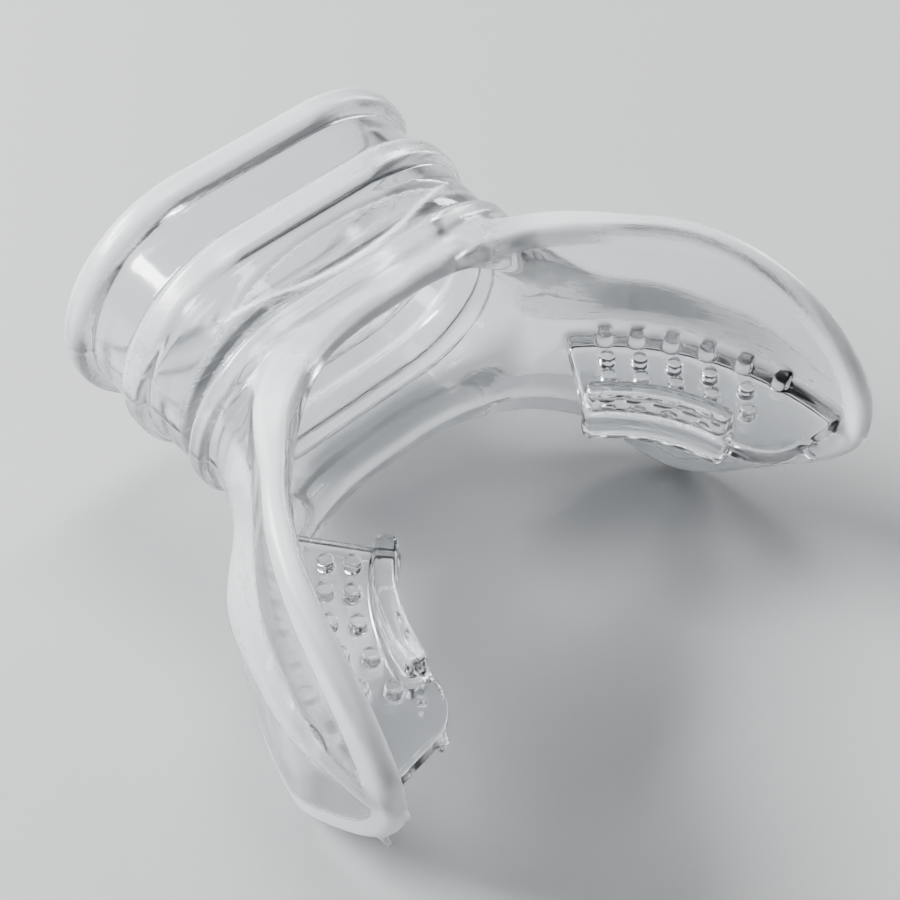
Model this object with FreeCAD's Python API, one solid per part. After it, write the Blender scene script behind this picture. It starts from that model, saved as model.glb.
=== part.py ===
"""Clear silicone mouthpiece for a scuba regulator.

The real thing is one moulding.  Each region of it that has its own job is a
solid of its own here: the sleeve that grips the regulator, the neck, the lip
flange with its two wings, the bite plates, their ridges and their studs.

Working frame, in millimetres: X across the mouth, Y from the mouth towards
the regulator, Z up, with the bite plates' middle plane at Z = 0 and the
flange's inner wall touching Y = 0.  finish() then stands the part on Z = 0.
"""
import FreeCAD, Part
import math
import os
from FreeCAD import Vector

# --- dental arch: the plan of the lip flange's inner wall, two arcs and a flat ---
arch_radius = 25.2          # inner wall of the flange, seen from above
arch_flat = 4.0             # straight stretch between the two arcs
wing_reach = 30.6           # from the inner wall's front to the wing tips
centre_wall = 3.2           # flange thickness round the airway
shoulder_wall = 3.9         # thickest place, where a wing leaves the neck
cheek_wall = 2.8            # halfway along a wing
tip_wall = 1.8              # at the wing tips
shoulder_angle = 40.0       # where those thicknesses apply, degrees round the arch
cheek_angle = 20.0
tip_angle = 0.0
wing_end_angle = -20.0      # past the tips, which the side view trims

# --- lip flange, side view: heights above and below the bite plane ---
centre_top = 13.8
centre_bottom = 8.0
upper_lobe = 15.4           # highest point of a wing
lower_lobe = 16.8           # lowest point of a wing
# points of the outline: share of wing_reach, share of the lobe's height
upper_outline = ((0.31, 1.0), (0.64, 0.86), (0.87, 0.56))
lower_outline = ((0.87, 0.42), (0.67, 0.77), (0.43, 1.0), (0.29, 0.84), (0.17, 0.62))

# --- airway and sleeve ---
airway_height = 3.5         # airway centre above the bite plane, at the flange
airway_half_width = 14.1    # oval mouth opening
airway_half_height = 7.8
sleeve_tilt = 7.4           # the sleeve rises towards the regulator, degrees
sleeve_length = 21.8        # flange's inner wall to the open rim, on the axis
socket_half_width = 16.4    # oval that stretches over the regulator's spigot
socket_half_height = 9.4
socket_depth = 14.3
sleeve_wall = 1.7           # under the cable-tie groove
groove_width = 4.4          # seat of the cable tie
bead_length = 3.2           # each bead, along the axis
end_bead_rise = 1.4         # above the groove's floor
retaining_bead_rise = 0.9
bead_roundness = 0.45       # largest edge radius, as a share of the bead's length
neck_end_wall = 3.4         # wall of the neck where it meets the flange, at the sides
neck_end_rise = 2.2         # the same above and below the airway
neck_ridge_rise = 0.7
neck_ridge_length = 1.8
neck_ridge_gap = 0.5        # from the flange's outer wall to the ridge
panel_half_length = 12.5    # recessed panel on the neck's top
panel_width = 4.6
panel_depth = 0.45

# --- bite plates, all arcs share the arch's centres ---
plate_thickness = 1.8
plate_width = 9.6           # from the flange's wall to the inner edge
plate_front_angle = 54.3    # degrees round the arch, from the wing's side
plate_rear_angle = -7.0
plate_corner = 4.0          # rounded inner rear corner
ridge_width = 2.0
ridge_height = 2.1          # above and below the plate
ridge_rear_angle = 9.0
ridge_rounding = 0.45
stud_radius = 0.74
stud_height = 1.15
stud_rows = ((1.0, 6), (3.8, 5), (6.0, 5))   # distance from the wall, studs in the row
stud_first_angle = 46.5
stud_pitch = 2.9            # first pitch along a row
stud_pitch_growth = 0.2     # each pitch is this much longer than the one before

# --- flexing wings ---
flex_angle = 55.9           # where a wing bends away from the flange's centre
flex_gap = 0.6              # clearance that stands in for the bending rubber

TALL = 60.0                 # taller than the part, for cuts
OVERLAP = 1.0               # how far one cut runs into the next
TOLERANCE = 1e-6
arch_centre = Vector(arch_flat / 2, -arch_radius, 0)


def polar(radius, angle):
    """Point at a radius and angle (degrees) round the right-hand arch centre."""
    turn = math.radians(angle)
    return arch_centre + Vector(radius * math.cos(turn), radius * math.sin(turn), 0)


def arc(radius, start, end):
    """Edge of the arch between two angles."""
    middle = (start + end) / 2
    return Part.Arc(polar(radius, start), polar(radius, middle), polar(radius, end)).toShape()


def line(a, b):
    return Part.LineSegment(a, b).toShape()


def spline(points):
    curve = Part.BSplineCurve()
    curve.interpolate(points)
    return curve.toShape()


def prism(edges, low, high):
    """Solid between two heights over a closed plan."""
    face = Part.Face(Part.Wire(Part.__sortEdges__(edges)))
    face.translate(Vector(0, 0, low))
    return face.extrude(Vector(0, 0, high - low))


def mirrored(shape):
    return shape.mirror(Vector(0, 0, 0), Vector(1, 0, 0))


def sector(inner, outer, start, end, low, high):
    """Ring sector round the right-hand arch centre."""
    edges = [arc(inner, start, end), line(polar(inner, end), polar(outer, end)),
             arc(outer, start, end), line(polar(inner, start), polar(outer, start))]
    return prism(edges, low, high)


# --- sleeve and neck, built on the Y axis and then tilted ---

def oval(half_width, half_height, y):
    """Stadium outline across the sleeve's axis."""
    flat = half_width - half_height
    top, low = half_height, -half_height
    edges = [line(Vector(-flat, y, top), Vector(flat, y, top)),
             Part.Arc(Vector(flat, y, top), Vector(half_width, y, 0), Vector(flat, y, low)).toShape(),
             line(Vector(flat, y, low), Vector(-flat, y, low)),
             Part.Arc(Vector(-flat, y, low), Vector(-half_width, y, 0), Vector(-flat, y, top)).toShape()]
    return Part.Wire(edges)


def oval_bar(half_width, half_height, start, end):
    """Straight oval bar between two stations on the axis."""
    return Part.Face(oval(half_width, half_height, start)).extrude(Vector(0, end - start, 0))


def tapered_bar(first, last, start, end):
    """Oval bar whose half width and half height run from first to last."""
    return Part.makeLoft([oval(*first, start), oval(*last, end)], True, True)


def on_axis(shape):
    """Move a piece built on the Y axis onto the tilted sleeve axis."""
    shape.rotate(Vector(0, 0, 0), Vector(1, 0, 0), sleeve_tilt)
    shape.translate(Vector(0, 0, airway_height))
    return shape


def axis_point(station):
    """Point on the sleeve's axis, in the working frame."""
    turn = math.radians(sleeve_tilt)
    return Vector(0, station * math.cos(turn), airway_height + station * math.sin(turn))


def groove_size():
    return socket_half_width + sleeve_wall, socket_half_height + sleeve_wall


def stations():
    """Ends of the beads and groove on the axis: neck, bead, groove, bead, rim."""
    groove_end = sleeve_length - bead_length
    groove_start = groove_end - groove_width
    return groove_start - bead_length, groove_start, groove_end, sleeve_length


def socket():
    return oval_bar(socket_half_width, socket_half_height, sleeve_length - socket_depth, TALL)


def airway():
    """Passage from the mouth opening to the socket's shoulder, run past both ends."""
    size = (airway_half_width, airway_half_height)
    return oval_bar(*size, -TALL / 2, sleeve_length - socket_depth + OVERLAP)


def bead(rise, start):
    """Rounded band round the sleeve."""
    half_width, half_height = groove_size()
    band = oval_bar(half_width + rise, half_height + rise, start, start + bead_length)
    rims = [edge for edge in band.Edges if edge.BoundBox.YLength < TOLERANCE]
    band = band.makeFillet(min(rise + sleeve_wall, bead_roundness * bead_length), rims)
    return on_axis(band.cut(socket()))


def groove_sleeve():
    start, end = stations()[1:3]
    return on_axis(oval_bar(*groove_size(), start, end).cut(socket()))


def neck_outside(shrink=0.0):
    """Outer form of the neck, run on into the flange."""
    half_width, half_height = groove_size()
    near_bead = (half_width - shrink, half_height - shrink)
    near_flange = (airway_half_width + neck_end_wall - shrink,
                   airway_half_height + neck_end_rise - shrink)
    return tapered_bar(near_flange, near_bead, -centre_wall, stations()[0])


def panel():
    """Recess in the neck's top: a pointed oval sunk to an even depth."""
    ridge_end = centre_wall + neck_ridge_gap + neck_ridge_length
    middle = (stations()[0] + ridge_end) / 2
    left, right = Vector(-panel_half_length, middle, 0), Vector(panel_half_length, middle, 0)
    bulge = Vector(0, panel_width / 2, 0)
    centre = Vector(0, middle, 0)
    edges = [Part.Arc(left, centre + bulge, right).toShape(),
             Part.Arc(right, centre - bulge, left).toShape()]
    lens = Part.Face(Part.Wire(edges)).extrude(Vector(0, 0, TALL))
    return lens.cut(neck_outside(panel_depth))


def flange_block():
    """Everything on the mouth's side of the flange's outer wall."""
    outer = arch_radius + centre_wall
    right, back = polar(outer, 0), Vector(0, -TALL, 0)
    edges = [arc(outer, 0, 90), mirrored(arc(outer, 0, 90)),
             line(polar(outer, 90), mirrored_point(polar(outer, 90))),
             line(right, Vector(right.x, back.y, 0)),
             line(mirrored_point(right), Vector(-right.x, back.y, 0)),
             line(Vector(right.x, back.y, 0), Vector(-right.x, back.y, 0))]
    return prism(edges, -TALL, TALL)


def mirrored_point(point):
    return Vector(-point.x, point.y, point.z)


def neck():
    body = neck_outside().cut(socket()).cut(airway()).cut(panel())
    return on_axis(body).cut(flange_block())


def neck_ridge():
    """Low rounded ridge round the neck, next to the flange."""
    start = centre_wall + neck_ridge_gap
    shell = neck_outside(-neck_ridge_rise).cut(neck_outside())
    ring = shell.common(oval_bar(TALL, TALL / 2, start, start + neck_ridge_length))
    return on_axis(ring).cut(flange_block())


# --- lip flange ---

def side_profile():
    """Side view of the flange, run across the whole width."""
    upper = [Vector(-TALL, -back * wing_reach, up * upper_lobe) for back, up in upper_outline]
    lower = [Vector(-TALL, -back * wing_reach, -down * lower_lobe) for back, down in lower_outline]
    first, tip, last = (Vector(-TALL, 0, centre_top), Vector(-TALL, -wing_reach, 0),
                        Vector(-TALL, 0, -centre_bottom))
    front = Vector(0, 2 * centre_wall, 0)
    edges = [spline([first, *upper, tip, *lower, last]), line(first, first + front),
             line(last, last + front), line(first + front, last + front)]
    face = Part.Face(Part.Wire(Part.__sortEdges__(edges)))
    return face.extrude(Vector(2 * TALL, 0, 0))


def half_gap_angle():
    """Half of the flex gap as an angle round the arch."""
    return math.degrees(flex_gap / 2 / arch_radius)


def flange_centre():
    start = flex_angle + half_gap_angle()
    right = sector(arch_radius, arch_radius + centre_wall, start, 90, -TALL, TALL)
    flat = Part.makeBox(arch_flat, centre_wall, 2 * TALL, Vector(-arch_flat / 2, 0, -TALL))
    body = right.fuse([mirrored(right), flat]).removeSplitter()
    return body.common(side_profile()).cut(on_axis(airway()))


def wing():
    """Right wing of the flange: its wall thins from the shoulder to the tip."""
    start = flex_angle - half_gap_angle()
    walls = ((start, centre_wall), (shoulder_angle, shoulder_wall), (cheek_angle, cheek_wall),
             (tip_angle, tip_wall), (wing_end_angle, tip_wall))
    outside = [polar(arch_radius + wall, angle) for angle, wall in walls]
    edges = [arc(arch_radius, wing_end_angle, start), spline(outside),
             line(polar(arch_radius, start), outside[0]),
             line(polar(arch_radius, wing_end_angle), outside[-1])]
    return prism(edges, -TALL, TALL).common(side_profile())


# --- bite plates ---

def bite_plate():
    inner = arch_radius - plate_width
    half = plate_thickness / 2
    plate = sector(inner, arch_radius, plate_rear_angle, plate_front_angle, -half, half)
    corner = polar(inner, plate_rear_angle)
    upright = [edge for edge in plate.Edges
               if math.hypot(edge.CenterOfMass.x - corner.x,
                             edge.CenterOfMass.y - corner.y) < TOLERANCE]
    return plate.makeFillet(plate_corner, upright)


def bite_ridge(side):
    """Raised wall along the plate's inner edge, above (1) or below (-1) it."""
    inner = arch_radius - plate_width
    base, tip = plate_thickness / 2, plate_thickness / 2 + ridge_height
    ridge = sector(inner, inner + ridge_width, ridge_rear_angle, plate_front_angle, base, tip)
    rounded = [edge for edge in ridge.Edges if edge.BoundBox.ZMax > tip - TOLERANCE]
    ridge = ridge.makeFillet(ridge_rounding, rounded)
    if side < 0:
        ridge = ridge.mirror(Vector(0, 0, 0), Vector(0, 0, 1))
    return ridge


def studs():
    """All grip studs on the plate's upper face."""
    base = Vector(0, 0, plate_thickness / 2)
    pins = []
    for inset, count in stud_rows:
        radius = arch_radius - inset
        travel = 0.0
        for index in range(count):
            place = polar(radius, stud_first_angle - math.degrees(travel / radius))
            pins.append(Part.makeCylinder(stud_radius, stud_height, place + base))
            travel += stud_pitch + index * stud_pitch_growth
    return Part.makeCompound(pins)


def build():
    """Every node of the moulding, in the working frame."""
    bead_start, _, groove_end, _ = stations()
    nodes = {
        "end_bead": bead(end_bead_rise, groove_end),
        "tie_groove_sleeve": groove_sleeve(),
        "retaining_bead": bead(retaining_bead_rise, bead_start),
        "neck": neck(),
        "neck_ridge": neck_ridge(),
        "flange_centre": flange_centre(),
    }
    right = {
        "flange_wing": wing(),
        "bite_plate": bite_plate(),
        "bite_ridge_upper": bite_ridge(1),
        "bite_ridge_lower": bite_ridge(-1),
        "bite_studs": studs(),
    }
    for name, shape in right.items():
        nodes[name + "_right"] = shape
        nodes[name + "_left"] = mirrored(shape)
    return nodes


def finish():
    """Stand the part on Z = 0 over its bounding box's middle, and write it."""
    nodes = build()
    box = Part.makeCompound(list(nodes.values())).optimalBoundingBox(False, False)
    shift = Vector(-box.Center.x, -box.Center.y, -box.ZMin)
    os.makedirs("parts", exist_ok=True)
    for name, shape in nodes.items():
        shape.translate(shift)
        shape.exportStep("parts/" + name + ".step")
        print(f"{name:26s} valid {shape.isValid()} solids {len(shape.Solids):2d} "
              f"volume {shape.Volume:8.1f}")
    print("size", [round(v, 2) for v in (box.XLength, box.YLength, box.ZLength)])
    print("shift from the working frame", [round(v, 3) for v in shift])
    hinge = polar(arch_radius + centre_wall / 2, flex_angle) + shift
    print("wing_right hinge", [round(v, 3) for v in hinge])
    _, groove_start, groove_end, rim = stations()
    for name, station in (("rim", rim), ("groove middle", (groove_start + groove_end) / 2),
                          ("socket shoulder", rim - socket_depth), ("mouth", 0.0)):
        print("axis at", name, [round(v, 3) for v in axis_point(station) + shift])


finish()
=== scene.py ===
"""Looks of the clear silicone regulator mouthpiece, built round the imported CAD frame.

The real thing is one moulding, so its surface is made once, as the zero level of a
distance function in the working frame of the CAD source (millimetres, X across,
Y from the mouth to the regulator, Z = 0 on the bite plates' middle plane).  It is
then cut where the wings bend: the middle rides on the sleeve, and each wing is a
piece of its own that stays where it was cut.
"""

import math

import bmesh
import bpy
import numpy as np
import openvdb
from mathutils import Matrix, Vector


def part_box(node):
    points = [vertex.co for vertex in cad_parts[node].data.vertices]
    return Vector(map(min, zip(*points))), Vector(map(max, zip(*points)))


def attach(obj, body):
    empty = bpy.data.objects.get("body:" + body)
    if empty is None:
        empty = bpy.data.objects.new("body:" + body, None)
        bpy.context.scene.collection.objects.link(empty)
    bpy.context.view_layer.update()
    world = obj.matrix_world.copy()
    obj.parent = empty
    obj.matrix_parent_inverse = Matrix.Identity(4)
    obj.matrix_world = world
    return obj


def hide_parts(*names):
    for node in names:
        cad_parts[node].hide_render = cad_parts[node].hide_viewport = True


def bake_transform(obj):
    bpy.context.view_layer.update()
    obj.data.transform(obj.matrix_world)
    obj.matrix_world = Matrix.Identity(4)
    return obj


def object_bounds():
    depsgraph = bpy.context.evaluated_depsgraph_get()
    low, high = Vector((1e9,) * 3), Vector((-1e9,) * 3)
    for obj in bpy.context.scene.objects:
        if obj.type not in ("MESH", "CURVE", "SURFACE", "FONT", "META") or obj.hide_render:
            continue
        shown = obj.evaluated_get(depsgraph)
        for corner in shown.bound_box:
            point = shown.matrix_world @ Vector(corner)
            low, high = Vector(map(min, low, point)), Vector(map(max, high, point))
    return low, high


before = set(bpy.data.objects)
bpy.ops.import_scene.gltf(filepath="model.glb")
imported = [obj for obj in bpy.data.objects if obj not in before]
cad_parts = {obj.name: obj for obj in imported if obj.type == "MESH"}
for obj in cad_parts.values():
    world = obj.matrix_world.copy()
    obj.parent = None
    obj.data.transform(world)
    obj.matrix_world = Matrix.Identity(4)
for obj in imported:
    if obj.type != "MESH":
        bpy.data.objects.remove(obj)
cad_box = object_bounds()

MM = 0.001
VOXEL = 0.27                # spacing of the surface's mesh
BAND = 1.5                  # depth either side of the surface that is worked out finely
FAR = 9.0                   # a distance that no union takes notice of
COARSE = 4                  # fine steps per coarse step, where only the side matters

# --- sizes of the CAD source, millimetres ---
ARCH_RADIUS, ARCH_FLAT = 25.2, 4.0
WING_REACH = 30.6
CENTRE_WALL, CENTRE_TOP, CENTRE_BOTTOM = 3.2, 13.8, 8.0
UPPER_LOBE, LOWER_LOBE = 15.4, 16.8
UPPER_OUTLINE = ((0.31, 1.0), (0.64, 0.86), (0.87, 0.56))
LOWER_OUTLINE = ((0.87, 0.42), (0.67, 0.77), (0.43, 1.0), (0.29, 0.84), (0.17, 0.62))
AIRWAY_HEIGHT, AIRWAY_HALF_WIDTH, AIRWAY_HALF_HEIGHT = 3.5, 14.1, 7.8
SLEEVE_TILT, SLEEVE_LENGTH = math.radians(7.4), 21.8
SOCKET_HALF_WIDTH, SOCKET_HALF_HEIGHT, SOCKET_DEPTH = 16.4, 9.4, 14.3
SLEEVE_WALL, GROOVE_WIDTH, BEAD_LENGTH = 1.7, 4.4, 3.2
END_BEAD_RISE, RETAINING_BEAD_RISE = 1.4, 0.9
NECK_END_WALL, NECK_END_RISE = 3.4, 2.2
NECK_RIDGE_RISE, NECK_RIDGE_LENGTH, NECK_RIDGE_GAP = 0.7, 1.8, 0.5
PANEL_HALF_LENGTH, PANEL_WIDTH, PANEL_DEPTH = 12.5, 4.6, 0.45
PLATE_THICKNESS, PLATE_WIDTH, PLATE_CORNER = 1.8, 9.6, 4.0
PLATE_FRONT, PLATE_REAR, RIDGE_REAR = 54.3, -7.0, 9.0
RIDGE_WIDTH, RIDGE_HEIGHT = 2.0, 2.1
STUD_RADIUS, STUD_HEIGHT, STUD_FIRST = 0.74, 1.15, 46.5
STUD_ROWS = ((1.0, 6), (3.8, 5), (6.0, 5))
STUD_PITCH, STUD_PITCH_GROWTH = 2.9, 0.2
SEAM_ANGLE = 55.9           # where a wing starts to bend

# --- soft shaping that the plain CAD solids leave out ---
WING_WALL = ((-20, 1.9), (0, 1.9), (20, 2.8), (40, 4.0), (56, 3.9), (75, 3.3), (90, 3.2))
UPPER_WALL = 2.1            # thickness of the upper lobes, above the swelling at the bite plane
SWELLING_TOP = ((-20, 3.0), (0, 4.0), (20, 6.5), (40, 8.0), (60, 9.0))
WALL_DRAFT = 0.095          # the lower lobes' outer wall leans in, away from the parting line
UPPER_LEAN = 1.7            # the upper lobes lean in at the rim
RIM_ROUND = 0.95
NECK_FILLET_SIDE, NECK_FILLET_TOP = 4.5, 1.9
NECK_WAIST = 0.8            # the neck is this much lower next to the flange
PARTING_RISE, PARTING_HALF_WIDTH = 0.12, 0.22   # the mould's parting line, along the sleeve's sides
MOUTH_ROUND = 1.5
SHOULDER_ROUND = 1.4        # the corner between the airway and the socket
PANEL_ROUND = 0.35
PLATE_FILLET, RIDGE_FILLET, STUD_FILLET = 1.0, 0.5, 0.25
STUD_ROUND = 0.22
SHEET_CORNER, SHEET_ROUND = 0.4, 0.35
RIDGE_CORNER, RIDGE_ROUND = 0.7, 0.55
SLEEVE_END_ROUND, SOCKET_EDGE_ROUND = 0.4, 0.5
INNER_ROUND = 0.6           # edges inside the sleeve, behind the mouth
MARK_FILLET = 0.3


# --- distance helpers: negative inside, all arrays in millimetres ---

def ease(value, start, end):
    """Smooth step from 0 at start to 1 at end."""
    t = np.clip((value - start) / (end - start), 0, 1)
    return t * t * (3 - 2 * t)


def join(a, b, fillet):
    """Union with a fillet."""
    h = np.clip(0.5 + 0.5 * (b - a) / fillet, 0, 1)
    return b + (a - b) * h - fillet * h * (1 - h)


def cut(a, b, fillet):
    """a with b taken away, with a rounded edge."""
    return -join(-a, b, fillet)


def common(a, b, radius):
    """Intersection whose edge is an arc."""
    u, v = a + radius, b + radius
    return np.hypot(np.maximum(u, 0), np.maximum(v, 0)) + np.minimum(np.maximum(u, v), 0) - radius


def box(u, v, half_u, half_v, radius):
    """Rounded rectangle about the origin."""
    return common(np.abs(u) - half_u, np.abs(v) - half_v, radius)


# --- flange ---

def cubic_through(points, count):
    """Natural cubic spline through points, by chord length."""
    p = np.array(points, float)
    t = np.concatenate([[0], np.cumsum(np.linalg.norm(np.diff(p, axis=0), axis=1))])
    n, h = len(p), np.diff(t)
    system, right = np.eye(n), np.zeros_like(p)
    for i in range(1, n - 1):
        system[i, i - 1:i + 2] = h[i - 1], 2 * (h[i - 1] + h[i]), h[i]
        right[i] = 6 * ((p[i + 1] - p[i]) / h[i] - (p[i] - p[i - 1]) / h[i - 1])
    bend = np.linalg.solve(system, right)
    s = np.linspace(0, t[-1], count)
    i = np.clip(np.searchsorted(t, s) - 1, 0, n - 2)
    a, b, hi = (t[i + 1] - s)[:, None], (s - t[i])[:, None], h[i][:, None]
    return (bend[i] * a ** 3 + bend[i + 1] * b ** 3) / (6 * hi) + \
        (p[i] / hi - bend[i] * hi / 6) * a + (p[i + 1] / hi - bend[i + 1] * hi / 6) * b


def side_outline():
    """Closed side view of the flange, (y, z)."""
    upper = [(-back * WING_REACH, up * UPPER_LOBE) for back, up in UPPER_OUTLINE]
    lower = [(-back * WING_REACH, -down * LOWER_LOBE) for back, down in LOWER_OUTLINE]
    curve = cubic_through([(0, CENTRE_TOP), *upper, (-WING_REACH, 0), *lower, (0, -CENTRE_BOTTOM)], 120)
    return np.vstack([curve, [(3 * CENTRE_WALL, -CENTRE_BOTTOM), (3 * CENTRE_WALL, CENTRE_TOP)]])


# the outline's distances are kept on a grid of (y, z)
TABLE_LOW, TABLE_HIGH, TABLE_STEP = (-36, -22), (10, 22), 0.2


def outline_table():
    """Signed distance to the side outline, on a (y, z) grid."""
    outline = side_outline()
    rows = [np.arange(low, high, TABLE_STEP) for low, high in zip(TABLE_LOW, TABLE_HIGH)]
    y, z = np.meshgrid(*rows, indexing="ij")
    nearest, inside = np.full(y.shape, 1e9), np.zeros(y.shape, bool)
    for (y0, z0), (y1, z1) in zip(outline, np.roll(outline, -1, axis=0)):
        ey, ez = y1 - y0, z1 - z0
        t = np.clip(((y - y0) * ey + (z - z0) * ez) / (ey * ey + ez * ez), 0, 1)
        nearest = np.minimum(nearest, np.hypot(y - y0 - t * ey, z - z0 - t * ez))
        crosses = (z0 > z) != (z1 > z)
        inside ^= crosses & (y < y0 + (z - z0) * ey / (ez if ez else 1e-9))
    return np.where(inside, -nearest, nearest)


OUTLINE = outline_table()


def outline_distance(y, z):
    """Signed distance to the side outline, read from the table."""
    u = np.clip((y - TABLE_LOW[0]) / TABLE_STEP, 0, OUTLINE.shape[0] - 1.001)
    v = np.clip((z - TABLE_LOW[1]) / TABLE_STEP, 0, OUTLINE.shape[1] - 1.001)
    i, j = u.astype(int), v.astype(int)
    u, v = u - i, v - j
    return ((1 - u) * ((1 - v) * OUTLINE[i, j] + v * OUTLINE[i, j + 1]) +
            u * ((1 - v) * OUTLINE[i + 1, j] + v * OUTLINE[i + 1, j + 1]))


def arch(x, y):
    """Radius and angle (degrees) round the arch centre of that side."""
    u, v = np.maximum(np.abs(x) - ARCH_FLAT / 2, 0), y + ARCH_RADIUS
    return np.hypot(u, v), np.degrees(np.arctan2(v, u))


def wall_radii(angle, z):
    """Inner and outer radius of the flange's wall."""
    wall = smooth_row(angle, WING_WALL)
    on_wing = 1 - ease(angle, 40, 72)
    inner = ARCH_RADIUS - UPPER_LEAN * on_wing * ease(z, 1, 15)
    swelling = 1 - on_wing * ease(z, 0.3, smooth_row(angle, SWELLING_TOP))
    upper = inner + UPPER_WALL + (wall - UPPER_WALL) * swelling
    lower = ARCH_RADIUS + wall + WALL_DRAFT * on_wing * np.minimum(z, 0)
    return inner, np.where(z > 0, upper, lower)


def smooth_row(value, row):
    """Eased steps between the places of a row of (place, height)."""
    level = np.full(value.shape, float(row[0][1]))
    for (start, before), (end, after) in zip(row, row[1:]):
        level = level + (after - before) * ease(value, start, end)
    return level


# --- sleeve and neck ---

def on_axis(x, y, z):
    """Station along the tilted sleeve axis, and height across it."""
    rise = z - AIRWAY_HEIGHT
    return (y * math.cos(SLEEVE_TILT) + rise * math.sin(SLEEVE_TILT),
            rise * math.cos(SLEEVE_TILT) - y * math.sin(SLEEVE_TILT))


def oval(x, across, half_width, half_height):
    """Distance of a stadium's middle line, less its half height."""
    return np.hypot(np.maximum(np.abs(x) - (half_width - half_height), 0), across) - half_height


def sleeve(x, station, across):
    """Outside of the sleeve, its beads and the neck."""
    groove_end = SLEEVE_LENGTH - BEAD_LENGTH
    groove_start = groove_end - GROOVE_WIDTH
    bead_start = groove_start - BEAD_LENGTH
    taper = np.clip((station + CENTRE_WALL) / (bead_start + CENTRE_WALL), 0, 1)
    half_height = AIRWAY_HALF_HEIGHT + NECK_END_RISE + \
        taper * (SOCKET_HALF_HEIGHT + SLEEVE_WALL - AIRWAY_HALF_HEIGHT - NECK_END_RISE)
    half_width = AIRWAY_HALF_WIDTH + NECK_END_WALL + \
        taper * (SOCKET_HALF_WIDTH + SLEEVE_WALL - AIRWAY_HALF_WIDTH - NECK_END_WALL)
    half_height = half_height - NECK_WAIST * (1 - ease(station, 3.5, 7.5)) * ease(np.abs(across), 5, 9)
    skin = oval(x, across, half_width, half_height)
    skin = skin - PARTING_RISE * np.exp(-(across / PARTING_HALF_WIDTH) ** 2)
    ridge_start = CENTRE_WALL + NECK_RIDGE_GAP
    middle, half_length = (SLEEVE_LENGTH - CENTRE_WALL) / 2, (SLEEVE_LENGTH + CENTRE_WALL) / 2
    body = common(skin, np.abs(station - middle) - half_length, SLEEVE_END_ROUND)
    outline = lens(x, station, (bead_start + ridge_start + NECK_RIDGE_LENGTH) / 2)
    sloped = (outline - skin) / math.sqrt(2)
    recess = np.maximum(sloped, np.maximum(-PANEL_DEPTH - skin, -across))
    body = cut(body, recess, PANEL_ROUND)
    for start, length, rise, radius, fillet in (
            (groove_end, BEAD_LENGTH, END_BEAD_RISE, 1.4, 0.35),
            (bead_start, BEAD_LENGTH, RETAINING_BEAD_RISE, 1.0, 0.4),
            (ridge_start, NECK_RIDGE_LENGTH, NECK_RIDGE_RISE, 0.5, 0.35)):
        band = box(station - start - length / 2, skin + 2.0, length / 2, 2.0 + rise, radius)
        body = join(body, band, fillet)
    return body


def lens(x, station, middle):
    """Pointed oval seen from above."""
    half = PANEL_WIDTH / 2
    radius = (PANEL_HALF_LENGTH ** 2 + half ** 2) / (2 * half)
    return np.hypot(x, np.abs(station - middle) + radius - half) - radius


def passage(x, station, across):
    """The space inside: airway, then the wider socket."""
    airway = np.maximum(oval(x, across, AIRWAY_HALF_WIDTH, AIRWAY_HALF_HEIGHT),
                        station - (SLEEVE_LENGTH - SOCKET_DEPTH + 1))
    socket = common(oval(x, across, SOCKET_HALF_WIDTH, SOCKET_HALF_HEIGHT),
                    SLEEVE_LENGTH - SOCKET_DEPTH - station, SOCKET_EDGE_ROUND)
    return join(airway, socket, SHOULDER_ROUND)


# --- bite plates ---

def sector(radius, angle, inner, outer, start, end, corner):
    """Rounded sector of the arch, seen from above."""
    middle, half = (inner + outer) / 2, (outer - inner) / 2
    along = np.radians(angle - (start + end) / 2) * radius
    reach = np.radians(end - start) / 2 * radius
    return box(radius - middle, along, half, reach, corner)


def plate(radius, angle, z):
    inner = ARCH_RADIUS - PLATE_WIDTH
    sheet = sector(radius, angle, inner, ARCH_RADIUS + 1, PLATE_REAR, PLATE_FRONT, SHEET_CORNER)
    rear = common(inner - radius, np.radians(PLATE_REAR - angle) * radius, PLATE_CORNER)
    plan = np.maximum(sheet, rear)
    body = common(plan, np.abs(z) - PLATE_THICKNESS / 2, SHEET_ROUND)
    wall = sector(radius, angle, inner, inner + RIDGE_WIDTH, RIDGE_REAR, PLATE_FRONT, RIDGE_CORNER)
    ridge = common(wall, np.abs(z) - PLATE_THICKNESS / 2 - RIDGE_HEIGHT, RIDGE_ROUND)
    return join(body, ridge, RIDGE_FILLET)


def stud_places():
    """Plan places of the studs on the right-hand plate."""
    places = []
    for inset, count in STUD_ROWS:
        radius, travel = ARCH_RADIUS - inset, 0.0
        for index in range(count):
            turn = math.radians(STUD_FIRST) - travel / radius
            places.append((ARCH_FLAT / 2 + radius * math.cos(turn), radius * math.sin(turn) - ARCH_RADIUS))
            travel += STUD_PITCH + index * STUD_PITCH_GROWTH
    return places


def studs(x, y, z):
    """Distance of all the studs, from the lower face of the plate up."""
    nearest = np.full(x.shape, FAR)
    for px, py in stud_places():
        nearest = np.minimum(nearest, np.hypot(np.abs(x) - px, y - py))
    height = np.abs(z - STUD_HEIGHT / 2) - (PLATE_THICKNESS + STUD_HEIGHT) / 2
    return common(nearest - STUD_RADIUS, height, STUD_ROUND)


def place(side, radius, angle, z):
    """Point of one wing from its radius and angle round the arch."""
    turn = math.radians(angle)
    across = side * (ARCH_FLAT / 2 + radius * math.cos(turn))
    return np.array([across, radius * math.sin(turn) - ARCH_RADIUS, z])


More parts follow.
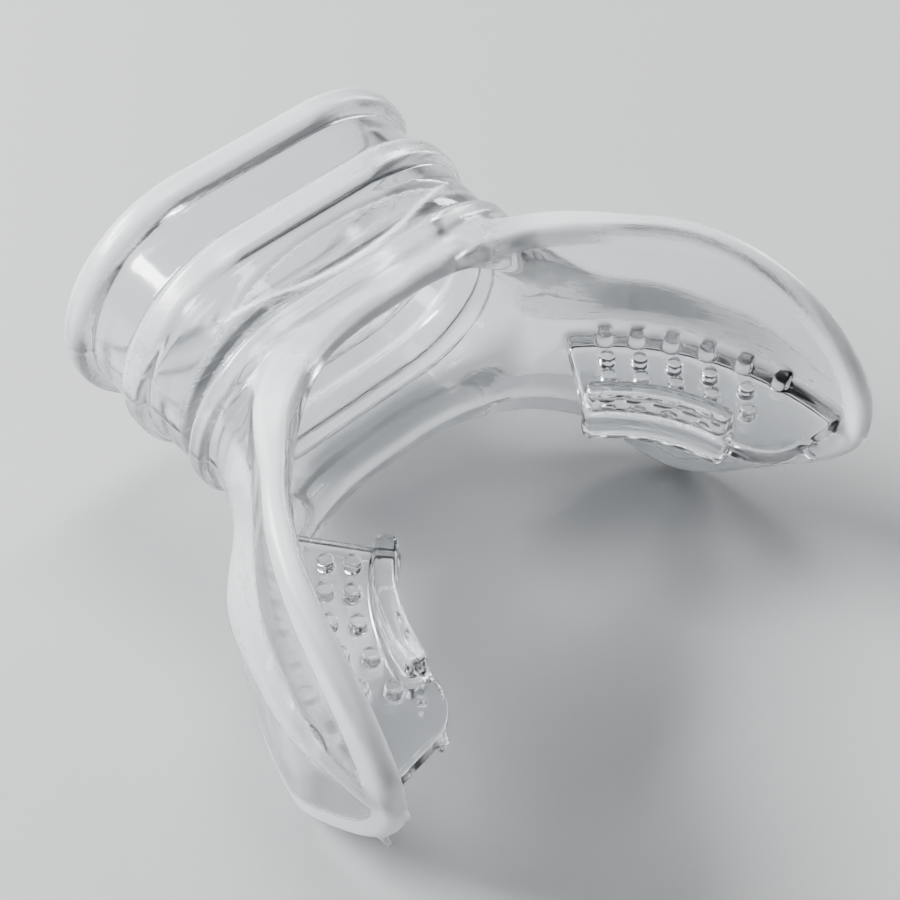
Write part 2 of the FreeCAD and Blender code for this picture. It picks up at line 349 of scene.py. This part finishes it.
def capsule(x, y, z, a, b, radius):
    """Rounded rod between two points."""
    run = b - a
    t = np.clip(((x - a[0]) * run[0] + (y - a[1]) * run[1] + (z - a[2]) * run[2]) / (run @ run), 0, 1)
    return np.sqrt((x - a[0] - t * run[0]) ** 2 + (y - a[1] - t * run[1]) ** 2 +
                   (z - a[2] - t * run[2]) ** 2) - radius


# flash and pips that the mould left: side, then two ends as radius, angle and height, then radius
MARKS = ((-1, (17.9, 2.8, 0.85), (17.9, 2.7, 0.85), 0.3),
         (1, (20.9, -6.6, -0.6), (21.2, -9.2, -0.9), 0.32),
         (1, (20.4, -6.8, 0.5), (21.6, -8.2, 0.2), 0.26),
         (-1, (19.0, -5.6, 0.3), (19.5, -8.4, 0.0), 0.34),
         (-1, (18.2, -4.9, -0.3), (18.6, -7.2, -0.7), 0.3),
         (1, (26.2, -10.6, -0.3), (26.1, -12.3, -0.2), 0.3),
         (-1, (26.2, -10.8, 1.0), (26.1, -12.3, 0.8), 0.34),
         (-1, (26.1, -7.2, -4.4), (26.0, -8.4, -5.2), 0.3))


def marks(x, y, z):
    """Distance of the mould's marks."""
    body = np.full(x.shape, FAR)
    for side, a, b, radius in MARKS:
        body = np.minimum(body, capsule(x, y, z, place(side, *a), place(side, *b), radius))
    return body


def moulding(x, y, z):
    """Signed distance of the whole moulding."""
    radius, angle = arch(x, y)
    station, across = on_axis(x, y, z)
    inner, outer = wall_radii(angle, z)
    flange = common(radius - outer, outline_distance(y, z), RIM_ROUND)
    fillet = NECK_FILLET_SIDE + (NECK_FILLET_TOP - NECK_FILLET_SIDE) * ease(np.abs(across), 3, 9)
    body = join(flange, sleeve(x, station, across), fillet)
    body = common(body, inner - radius, RIM_ROUND)
    mouth = MOUTH_ROUND + (INNER_ROUND - MOUTH_ROUND) * ease(station, 4, 9)
    body = cut(body, passage(x, station, across), mouth)
    grip = join(plate(radius, angle, z), studs(x, y, z), STUD_FILLET)
    return join(join(body, grip, PLATE_FILLET), marks(x, y, z), MARK_FILLET)


# --- surface from the distance ---

def in_chunks(x, y, z, size=400000):
    return np.concatenate([moulding(x[i:i + size], y[i:i + size], z[i:i + size])
                           for i in range(0, len(x), size)])


def distance_grid(low, shape):
    """Distances on the fine grid, worked out only near the surface."""
    axes = [low[k] + VOXEL * np.arange(shape[k]) for k in range(3)]
    coarse = np.meshgrid(*[a[::COARSE] for a in axes], indexing="ij")
    rough = in_chunks(*[c.ravel() for c in coarse]).reshape(coarse[0].shape)
    for k in range(3):
        rough = np.repeat(rough, COARSE, axis=k)
    rough = rough[:shape[0], :shape[1], :shape[2]]
    values = np.clip(rough, -BAND, BAND).astype(np.float32)
    near = np.nonzero(np.abs(rough) < BAND + VOXEL * COARSE * 1.8)
    values[near] = np.clip(in_chunks(*[axes[k][near[k]] for k in range(3)]), -BAND, BAND)
    return values


def gradient(points, step=0.02):
    steps = np.eye(3) * step
    rises = [in_chunks(*(points + s).T) - in_chunks(*(points - s).T) for s in steps]
    return np.stack(rises, axis=1) / (2 * step)


def settle(points, rounds=3):
    """Move points onto the surface."""
    for _ in range(rounds):
        slope = gradient(points)
        points = points - (in_chunks(*points.T) / np.maximum((slope ** 2).sum(1), 0.25))[:, None] * slope
    return points


def surface():
    """Vertices (mm) and quads of the whole moulding."""
    low = np.array([-30.5, -32.0, -18.5])
    high = np.array([30.5, 25.5, 20.5])
    shape = np.ceil((high - low) / VOXEL).astype(int) + 1
    grid = openvdb.FloatGrid(BAND)
    grid.copyFromArray(distance_grid(low, shape))
    points, quads = grid.convertToQuads()
    points = settle(low + np.asarray(points, float) * VOXEL)
    return points, np.asarray(quads)


# --- pieces ---

def to_frame(points):
    """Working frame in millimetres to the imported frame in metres."""
    return points * MM + shift


def working_shift():
    """Where the working frame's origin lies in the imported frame, from two nodes' boxes."""
    plate_low, plate_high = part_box("bite_plate_right")
    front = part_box("flange_centre")[1].y
    return np.array([0.0, front - CENTRE_WALL * MM, (plate_low.z + plate_high.z) / 2])


shift = working_shift()


def seam(side):
    """A point on the seam plane and its normal, which points along the wing."""
    turn = math.radians(SEAM_ANGLE)
    across = side * (ARCH_FLAT / 2 + ARCH_RADIUS * math.cos(turn))
    point = Vector((across, ARCH_RADIUS * (math.sin(turn) - 1), 0))
    return point, Vector((side * math.sin(turn), -math.cos(turn), 0))


def mesh_of(points, quads):
    mesh = bpy.data.meshes.new("moulding")
    mesh.from_pydata(points.tolist(), [], quads.tolist())
    return mesh


def keep_side(source, planes):
    """Copy of the mesh on the wanted side of each plane, with a lid at each cut."""
    bm = bmesh.new()
    bm.from_mesh(source)
    for point, normal in planes:
        geometry = bm.verts[:] + bm.edges[:] + bm.faces[:]
        made = bmesh.ops.bisect_plane(bm, geom=geometry, dist=1e-5, plane_co=point, plane_no=normal,
                                      clear_inner=True)
        rim = [e for e in made["geom_cut"] if isinstance(e, bmesh.types.BMEdge) and e.is_boundary]
        lid = bmesh.ops.triangle_fill(bm, edges=rim, use_beauty=True, normal=-normal)["geom"]
        for face in lid:
            if isinstance(face, bmesh.types.BMFace):
                face.material_index = 1
    mesh = bpy.data.meshes.new("cut")
    bm.to_mesh(mesh)
    bm.free()
    return mesh


def coordinates(mesh):
    co = np.empty(len(mesh.vertices) * 3, np.float32)
    mesh.vertices.foreach_get("co", co)
    return co.reshape(-1, 3).astype(float)


def frost(points):
    """0 where the rubber is glass clear, 1 where it is frosted."""
    x, y, z = points.T
    radius, angle = arch(x, y)
    station, across = on_axis(x, y, z)
    inner = wall_radii(angle, z)[0]
    on_flange = ease(radius, ARCH_RADIUS - 1.6, ARCH_RADIUS - 1.0) * (1 - ease(station, 2.5, 5.0))
    rim = ease(outline_distance(y, z), -2.5, -1.9) * on_flange * (1 - 0.45 * ease(angle, 58, 75))
    top = smooth_row(angle, SWELLING_TOP)
    shelf = 0.7 * ease(radius - inner, 1.0, 1.6) * on_flange * \
        ease(z, 0.1, 0.7) * (1 - ease(z, top - 1.2, top))
    rim = np.maximum(rim, shelf * (1 - ease(angle, 56, 62)))
    groove_end = SLEEVE_LENGTH - BEAD_LENGTH
    bead_start = groove_end - GROOVE_WIDTH - BEAD_LENGTH
    outside = ease(oval(x, across, SOCKET_HALF_WIDTH, SOCKET_HALF_HEIGHT), 0.8, 1.8)
    bead = 0.75 * ease(station, groove_end - 0.4, groove_end + 0.5)
    second = 0.6 * ease(station, bead_start - 0.3, bead_start + 0.6) * \
        (1 - ease(station, bead_start + BEAD_LENGTH - 0.6, bead_start + BEAD_LENGTH + 0.3))
    ridge_start = CENTRE_WALL + NECK_RIDGE_GAP
    ridge_end = ridge_start + NECK_RIDGE_LENGTH
    ridge = 0.45 * ease(station, ridge_start - 0.2, ridge_start + 0.3) * \
        (1 - ease(station, ridge_end - 0.3, ridge_end + 0.2))
    outline = lens(x, station, (bead_start + ridge_end) / 2)
    bevel = 0.85 * (1 - ease(np.abs(outline + PANEL_DEPTH / 2), 0.2, 0.5)) * ease(across, 4, 6)
    above = ease(oval(x, across, AIRWAY_HALF_WIDTH, AIRWAY_HALF_HEIGHT), 1.0, 1.8)
    within = 1 - ease(oval(x, across, SOCKET_HALF_WIDTH, SOCKET_HALF_HEIGHT), 0.1, 0.5)
    shoulder = SLEEVE_LENGTH - SOCKET_DEPTH
    step = 0.6 * within * (1 - ease(np.abs(station - shoulder), 0.5, 1.1))
    parts = (rim, outside * np.maximum(bead, second), above * ridge, above * bevel, step)
    return np.clip(np.maximum.reduce(parts), 0, 1)


def flow(points):
    """Coordinates that run along the moulding, for streaks."""
    x, y, z = points.T
    radius, angle = arch(x, y)
    station, across = on_axis(x, y, z)
    on_sleeve = ease(station, 1.0, 4.0)
    along = np.sign(x) * (90 - angle) * math.radians(1) * ARCH_RADIUS
    around = x + 0.5 * across
    return np.stack([along * (1 - on_sleeve) + around * on_sleeve,
                     radius * (1 - on_sleeve) + station * on_sleeve, z], axis=1)


def dress(mesh):
    """Shading normals and the attributes that the material reads."""
    points = coordinates(mesh)
    slope = gradient(points)
    slope /= np.linalg.norm(slope, axis=1)[:, None]
    mesh.attributes.new("frost", "FLOAT", "POINT").data.foreach_set("value", frost(points).astype(np.float32))
    mesh.attributes.new("flow", "FLOAT_VECTOR", "POINT").data.foreach_set(
        "vector", flow(points).astype(np.float32).ravel())
    mesh.vertices.foreach_set("co", to_frame(points).astype(np.float32).ravel())
    mesh.shade_smooth()
    mesh.normals_split_custom_set_from_vertices(slope.tolist())


def piece(name, mesh, materials, nodes):
    dress(mesh)
    for material in materials:
        mesh.materials.append(material)
    obj = bpy.data.objects.new(name, mesh)
    bpy.context.scene.collection.objects.link(obj)
    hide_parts(*nodes)
    return obj


def wing_nodes(side):
    parts = ("flange_wing", "bite_plate", "bite_ridge_upper", "bite_ridge_lower", "bite_studs")
    return [f"{part}_{side}" for part in parts]


def build_moulding():
    whole = mesh_of(*surface())
    materials = [silicone(), lid_material()]
    right, left = seam(1), seam(-1)
    middle = keep_side(whole, [(right[0], -right[1]), (left[0], -left[1])])
    body = piece("sleeve_and_lip", middle, materials,
                 ["end_bead", "tie_groove_sleeve", "retaining_bead", "neck", "neck_ridge", "flange_centre"])
    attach(body, "sleeve_and_lip")
    for side, (point, normal) in (("right", right), ("left", left)):
        wing = piece(f"wing_{side}", keep_side(whole, [(point, normal)]), materials, wing_nodes(side))
        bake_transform(wing)


# --- materials ---

def new_material(name):
    material = bpy.data.materials.new(name)
    material.use_nodes = True
    nodes = material.node_tree.nodes
    nodes.clear()
    return material, nodes, material.node_tree.links


def attribute(nodes, name):
    node = nodes.new("ShaderNodeAttribute")
    node.attribute_name = name
    return node


def streak_noise(nodes, links):
    """Noise drawn out along the moulding."""
    run = attribute(nodes, "flow")
    stretch = nodes.new("ShaderNodeMapping")
    stretch.inputs["Scale"].default_value = (0.12, 1.6, 1.6)
    streaks = nodes.new("ShaderNodeTexNoise")
    streaks.inputs["Scale"].default_value = 1.0
    streaks.inputs["Detail"].default_value = 3.0
    links.new(run.outputs["Vector"], stretch.inputs["Vector"])
    links.new(stretch.outputs["Vector"], streaks.inputs["Vector"])
    return streaks


def by_frost(nodes, links, frosted, when_clear, when_frosted):
    """A value that goes from one level to the other with the frost."""
    level = nodes.new("ShaderNodeMapRange")
    level.inputs["To Min"].default_value = when_clear
    level.inputs["To Max"].default_value = when_frosted
    links.new(frosted.outputs["Fac"], level.inputs["Value"])
    return level


def frost_tint(nodes, links, frosted):
    tint = nodes.new("ShaderNodeValToRGB")
    tint.color_ramp.elements[0].color = (0.95, 0.965, 0.98, 1)
    tint.color_ramp.elements[1].color = (0.95, 0.965, 0.985, 1)
    links.new(frosted.outputs["Fac"], tint.inputs["Fac"])
    return tint


def streak_bump(nodes, links, frosted, streaks):
    """Streaks that stand out only where the rubber is frosted."""
    raised = nodes.new("ShaderNodeMath")
    raised.operation = "MULTIPLY"
    links.new(streaks.outputs["Fac"], raised.inputs[0])
    links.new(frosted.outputs["Fac"], raised.inputs[1])
    bump = nodes.new("ShaderNodeBump")
    bump.inputs["Strength"].default_value = 0.4
    bump.inputs["Distance"].default_value = 0.0001
    links.new(raised.outputs["Value"], bump.inputs["Height"])
    return bump


def silicone():
    """Clear rubber: glassy where the mould was polished, frosted and streaky at the rims."""
    material, nodes, links = new_material("clear_silicone")
    out = nodes.new("ShaderNodeOutputMaterial")
    shader = nodes.new("ShaderNodeBsdfPrincipled")
    shader.inputs["IOR"].default_value = 1.41
    frosted, streaks = attribute(nodes, "frost"), streak_noise(nodes, links)

    uneven = nodes.new("ShaderNodeMath")
    uneven.operation = "MULTIPLY_ADD"
    uneven.inputs[1].default_value = 0.1
    links.new(streaks.outputs["Fac"], uneven.inputs[0])
    links.new(by_frost(nodes, links, frosted, 0.05, 0.32).outputs["Result"], uneven.inputs[2])
    links.new(uneven.outputs["Value"], shader.inputs["Roughness"])

    links.new(frost_tint(nodes, links, frosted).outputs["Color"], shader.inputs["Base Color"])
    clear = by_frost(nodes, links, frosted, 1.0, 0.56)
    links.new(clear.outputs["Result"], shader.inputs["Transmission Weight"])
    links.new(streak_bump(nodes, links, frosted, streaks).outputs["Normal"], shader.inputs["Normal"])
    links.new(shader.outputs["BSDF"], out.inputs["Surface"])
    return material


def lid_material():
    """The cut between two pieces of the one moulding: nothing is seen there."""
    material, nodes, links = new_material("hidden_cut")
    out = nodes.new("ShaderNodeOutputMaterial")
    clear = nodes.new("ShaderNodeBsdfTransparent")
    clear.inputs["Color"].default_value = (1, 1, 1, 1)
    links.new(clear.outputs["BSDF"], out.inputs["Surface"])
    return material


def floor_material():
    material, nodes, links = new_material("pale_floor")
    out = nodes.new("ShaderNodeOutputMaterial")
    shader = nodes.new("ShaderNodeBsdfPrincipled")
    shader.inputs["Base Color"].default_value = (0.37, 0.375, 0.38, 1)
    shader.inputs["Roughness"].default_value = 0.65
    links.new(shader.outputs["BSDF"], out.inputs["Surface"])
    return material


# --- stage ---

def build_floor():
    mesh = bpy.data.meshes.new("floor")
    side, z = 1.5, cad_box[0].z - 0.00005
    corners = [(-side, -side, z), (side, -side, z), (side, side, z), (-side, side, z)]
    mesh.from_pydata(corners, [], [(0, 1, 2, 3)])
    mesh.materials.append(floor_material())
    floor = bpy.data.objects.new("floor", mesh)
    bpy.context.scene.collection.objects.link(floor)


def area_light(name, place, aim, size, power):
    data = bpy.data.lights.new(name, "AREA")
    data.shape, data.size, data.size_y, data.energy = "RECTANGLE", size[0], size[1], power
    light = bpy.data.objects.new(name, data)
    light.location = place
    light.rotation_euler = (Vector(aim) - Vector(place)).to_track_quat("-Z", "Y").to_euler()
    bpy.context.scene.collection.objects.link(light)


def build_lights():
    middle = (cad_box[0] + cad_box[1]) / 2
    area_light("key", (-0.24, 0.34, 0.34), middle, (0.30, 0.14), 5.6)
    area_light("top", (0.10, 0.05, 0.55), middle, (0.22, 0.22), 1.3)
    area_light("side", (0.42, 0.05, 0.16), middle, (0.06, 0.30), 1.2)
    world = bpy.data.worlds.new("studio")
    world.use_nodes = True
    world.node_tree.nodes["Background"].inputs["Color"].default_value = (0.5, 0.54, 0.6, 1)
    world.node_tree.nodes["Background"].inputs["Strength"].default_value = 0.045
    bpy.context.scene.world = world
    bpy.context.scene.view_settings.look = "AgX - High Contrast"


CAMERA_AZIMUTH, CAMERA_ELEVATION = math.radians(-45.05), math.radians(48.82)
CAMERA_ROLL = math.radians(1.454)
CAMERA_PLACE = Vector((-72.57, -75.52, 133.89))
CAMERA_LENS = 72.1


def build_camera():
    back = Vector((math.sin(CAMERA_AZIMUTH) * math.cos(CAMERA_ELEVATION),
                   -math.cos(CAMERA_AZIMUTH) * math.cos(CAMERA_ELEVATION), math.sin(CAMERA_ELEVATION)))
    right = Vector((math.cos(CAMERA_AZIMUTH), math.sin(CAMERA_AZIMUTH), 0))
    up = back.cross(right)
    rolled_right = right * math.cos(CAMERA_ROLL) + up * math.sin(CAMERA_ROLL)
    rolled_up = up * math.cos(CAMERA_ROLL) - right * math.sin(CAMERA_ROLL)
    data = bpy.data.cameras.new("camera")
    data.lens, data.sensor_width = CAMERA_LENS, 36.0
    data.clip_start, data.clip_end = 0.01, 10.0
    camera = bpy.data.objects.new("camera", data)
    camera.matrix_world = Matrix.Translation(CAMERA_PLACE * MM) @ \
        Matrix((rolled_right, rolled_up, back)).transposed().to_4x4()
    bpy.context.scene.collection.objects.link(camera)
    bpy.context.scene.camera = camera


build_moulding()
build_floor()
build_lights()
build_camera()
